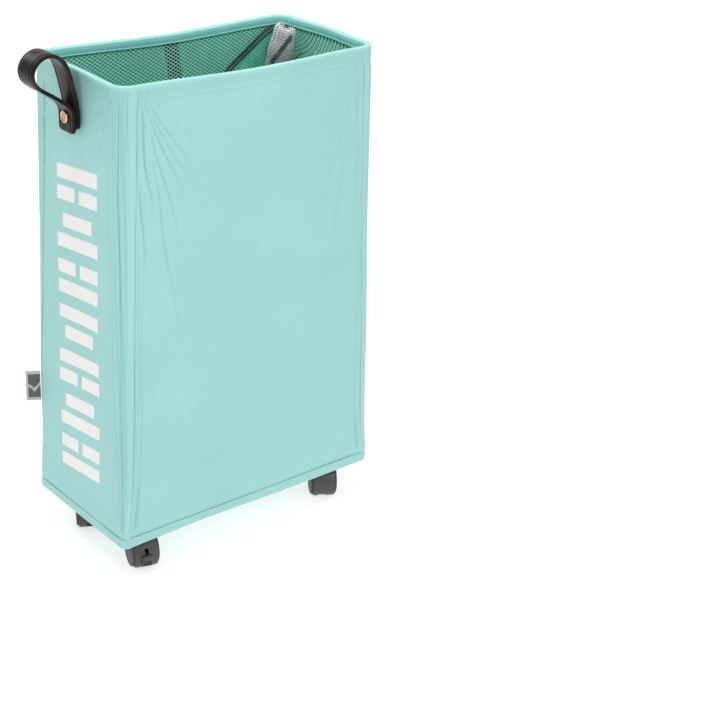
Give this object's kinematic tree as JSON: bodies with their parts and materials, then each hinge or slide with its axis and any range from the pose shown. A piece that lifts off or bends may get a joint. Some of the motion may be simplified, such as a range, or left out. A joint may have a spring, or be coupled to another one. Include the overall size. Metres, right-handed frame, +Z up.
{
  "type": "rolling laundry hamper",
  "caption": "Tall slim soft-sided laundry hamper with a rounded wire rim, mesh lining, leather pull loop at one end and swivel casters under a stiff base.",
  "frame": {"origin": "on the ground under the centre of the whole object's bounding box, handle included", "axes": "+Z up; +X along the long side, away from the handle; +Y across the short side, from the front long wall to the back one"},
  "size_m": [0.3996, 0.1839, 0.5826],
  "materials": {
    "coated_fabric": "satin",
    "mesh_net": "matte",
    "grey_net": "matte",
    "webbing": "matte",
    "woven_tag": "matte",
    "base_board": "matte",
    "floor_foam": "matte",
    "black_leather": "satin",
    "caster_plastic": "satin",
    "wheel_plastic": "satin",
    "steel": "satin",
    "copper_rivet": "polished"
  },
  "bodies": {
    "hamper": {"bag_shell": "coated_fabric", "bottom_cover": "coated_fabric", "base_board": "base_board", "floor_pad": "floor_foam", "mesh_liner": "mesh_net", "mesh_cover_bunch": "grey_net", "wall_strap": "webbing", "cord_casing": "webbing", "side_tag": "woven_tag", "rim_hoop": "steel", "hoop_ferrule": "steel", "handle_strap": "black_leather", "handle_rivet": "copper_rivet", "rivet_washer": "steel", "support_rod_front_left": "steel", "rod_socket_front_left": "caster_plastic", "rod_cap_front_left": "caster_plastic", "rod_sleeve_front_left": "coated_fabric", "caster_stem_front_left": "steel", "caster_nut_front_left": "steel", "support_rod_front_right": "steel", "rod_socket_front_right": "caster_plastic", "rod_cap_front_right": "caster_plastic", "rod_sleeve_front_right": "coated_fabric", "caster_stem_front_right": "steel", "caster_nut_front_right": "steel", "support_rod_back_left": "steel", "rod_socket_back_left": "caster_plastic", "rod_cap_back_left": "caster_plastic", "rod_sleeve_back_left": "coated_fabric", "caster_stem_back_left": "steel", "caster_nut_back_left": "steel", "support_rod_back_right": "steel", "rod_socket_back_right": "caster_plastic", "rod_cap_back_right": "caster_plastic", "rod_sleeve_back_right": "coated_fabric", "caster_stem_back_right": "steel", "caster_nut_back_right": "steel"},
    "caster_front_left": {"caster_housing_front_left": "caster_plastic", "caster_axle_front_left": "steel"},
    "wheel_front_left_a": {"caster_wheel_front_left_a": "wheel_plastic"},
    "wheel_front_left_b": {"caster_wheel_front_left_b": "wheel_plastic"},
    "brake_front_left": {"brake_lever_front_left": "caster_plastic"},
    "caster_front_right": {"caster_housing_front_right": "caster_plastic", "caster_axle_front_right": "steel"},
    "wheel_front_right_a": {"caster_wheel_front_right_a": "wheel_plastic"},
    "wheel_front_right_b": {"caster_wheel_front_right_b": "wheel_plastic"},
    "caster_back_left": {"caster_housing_back_left": "caster_plastic", "caster_axle_back_left": "steel"},
    "wheel_back_left_a": {"caster_wheel_back_left_a": "wheel_plastic"},
    "wheel_back_left_b": {"caster_wheel_back_left_b": "wheel_plastic"},
    "brake_back_left": {"brake_lever_back_left": "caster_plastic"},
    "caster_back_right": {"caster_housing_back_right": "caster_plastic", "caster_axle_back_right": "steel"},
    "wheel_back_right_a": {"caster_wheel_back_right_a": "wheel_plastic"},
    "wheel_back_right_b": {"caster_wheel_back_right_b": "wheel_plastic"}
  },
  "joints": [
    {"name": "swivel_front_left", "type": "hinge", "parent": "hamper", "child": "caster_front_left", "pos_m": [-0.1122, -0.053, 0.019], "axis": [0, 0, 1], "continuous": true},
    {"name": "roll_front_left_a", "type": "hinge", "parent": "caster_front_left", "child": "wheel_front_left_a", "pos_m": [-0.11659, -0.06735, 0.019], "axis": [0.9563, -0.2924, 0], "continuous": true},
    {"name": "roll_front_left_b", "type": "hinge", "parent": "caster_front_left", "child": "wheel_front_left_b", "pos_m": [-0.11659, -0.06735, 0.019], "axis": [0.9563, -0.2924, 0], "continuous": true},
    {"name": "brake_front_left", "type": "hinge", "parent": "caster_front_left", "child": "brake_front_left", "pos_m": [-0.11659, -0.06735, 0.019], "axis": [-0.9563, 0.2924, 0], "range_deg": [0, 20]},
    {"name": "swivel_front_right", "type": "hinge", "parent": "hamper", "child": "caster_front_right", "pos_m": [0.1558, -0.053, 0.019], "axis": [0, 0, 1], "continuous": true},
    {"name": "roll_front_right_a", "type": "hinge", "parent": "caster_front_right", "child": "wheel_front_right_a", "pos_m": [0.14807, -0.06586, 0.019], "axis": [0.8572, -0.515, 0], "continuous": true},
    {"name": "roll_front_right_b", "type": "hinge", "parent": "caster_front_right", "child": "wheel_front_right_b", "pos_m": [0.14807, -0.06586, 0.019], "axis": [0.8572, -0.515, 0], "continuous": true},
    {"name": "swivel_back_left", "type": "hinge", "parent": "hamper", "child": "caster_back_left", "pos_m": [-0.1122, 0.053, 0.019], "axis": [0, 0, 1], "continuous": true},
    {"name": "roll_back_left_a", "type": "hinge", "parent": "caster_back_left", "child": "wheel_back_left_a", "pos_m": [-0.11924, 0.03976, 0.019], "axis": [0.8829, -0.4695, 0], "continuous": true},
    {"name": "roll_back_left_b", "type": "hinge", "parent": "caster_back_left", "child": "wheel_back_left_b", "pos_m": [-0.11924, 0.03976, 0.019], "axis": [0.8829, -0.4695, 0], "continuous": true},
    {"name": "brake_back_left", "type": "hinge", "parent": "caster_back_left", "child": "brake_back_left", "pos_m": [-0.11924, 0.03976, 0.019], "axis": [-0.8829, 0.4695, 0], "range_deg": [0, 20]},
    {"name": "swivel_back_right", "type": "hinge", "parent": "hamper", "child": "caster_back_right", "pos_m": [0.1558, 0.053, 0.019], "axis": [0, 0, 1], "continuous": true},
    {"name": "roll_back_right_a", "type": "hinge", "parent": "caster_back_right", "child": "wheel_back_right_a", "pos_m": [0.1497, 0.0393, 0.019], "axis": [0.9135, -0.4067, 0], "continuous": true},
    {"name": "roll_back_right_b", "type": "hinge", "parent": "caster_back_right", "child": "wheel_back_right_b", "pos_m": [0.1497, 0.0393, 0.019], "axis": [0.9135, -0.4067, 0], "continuous": true}
  ]
}
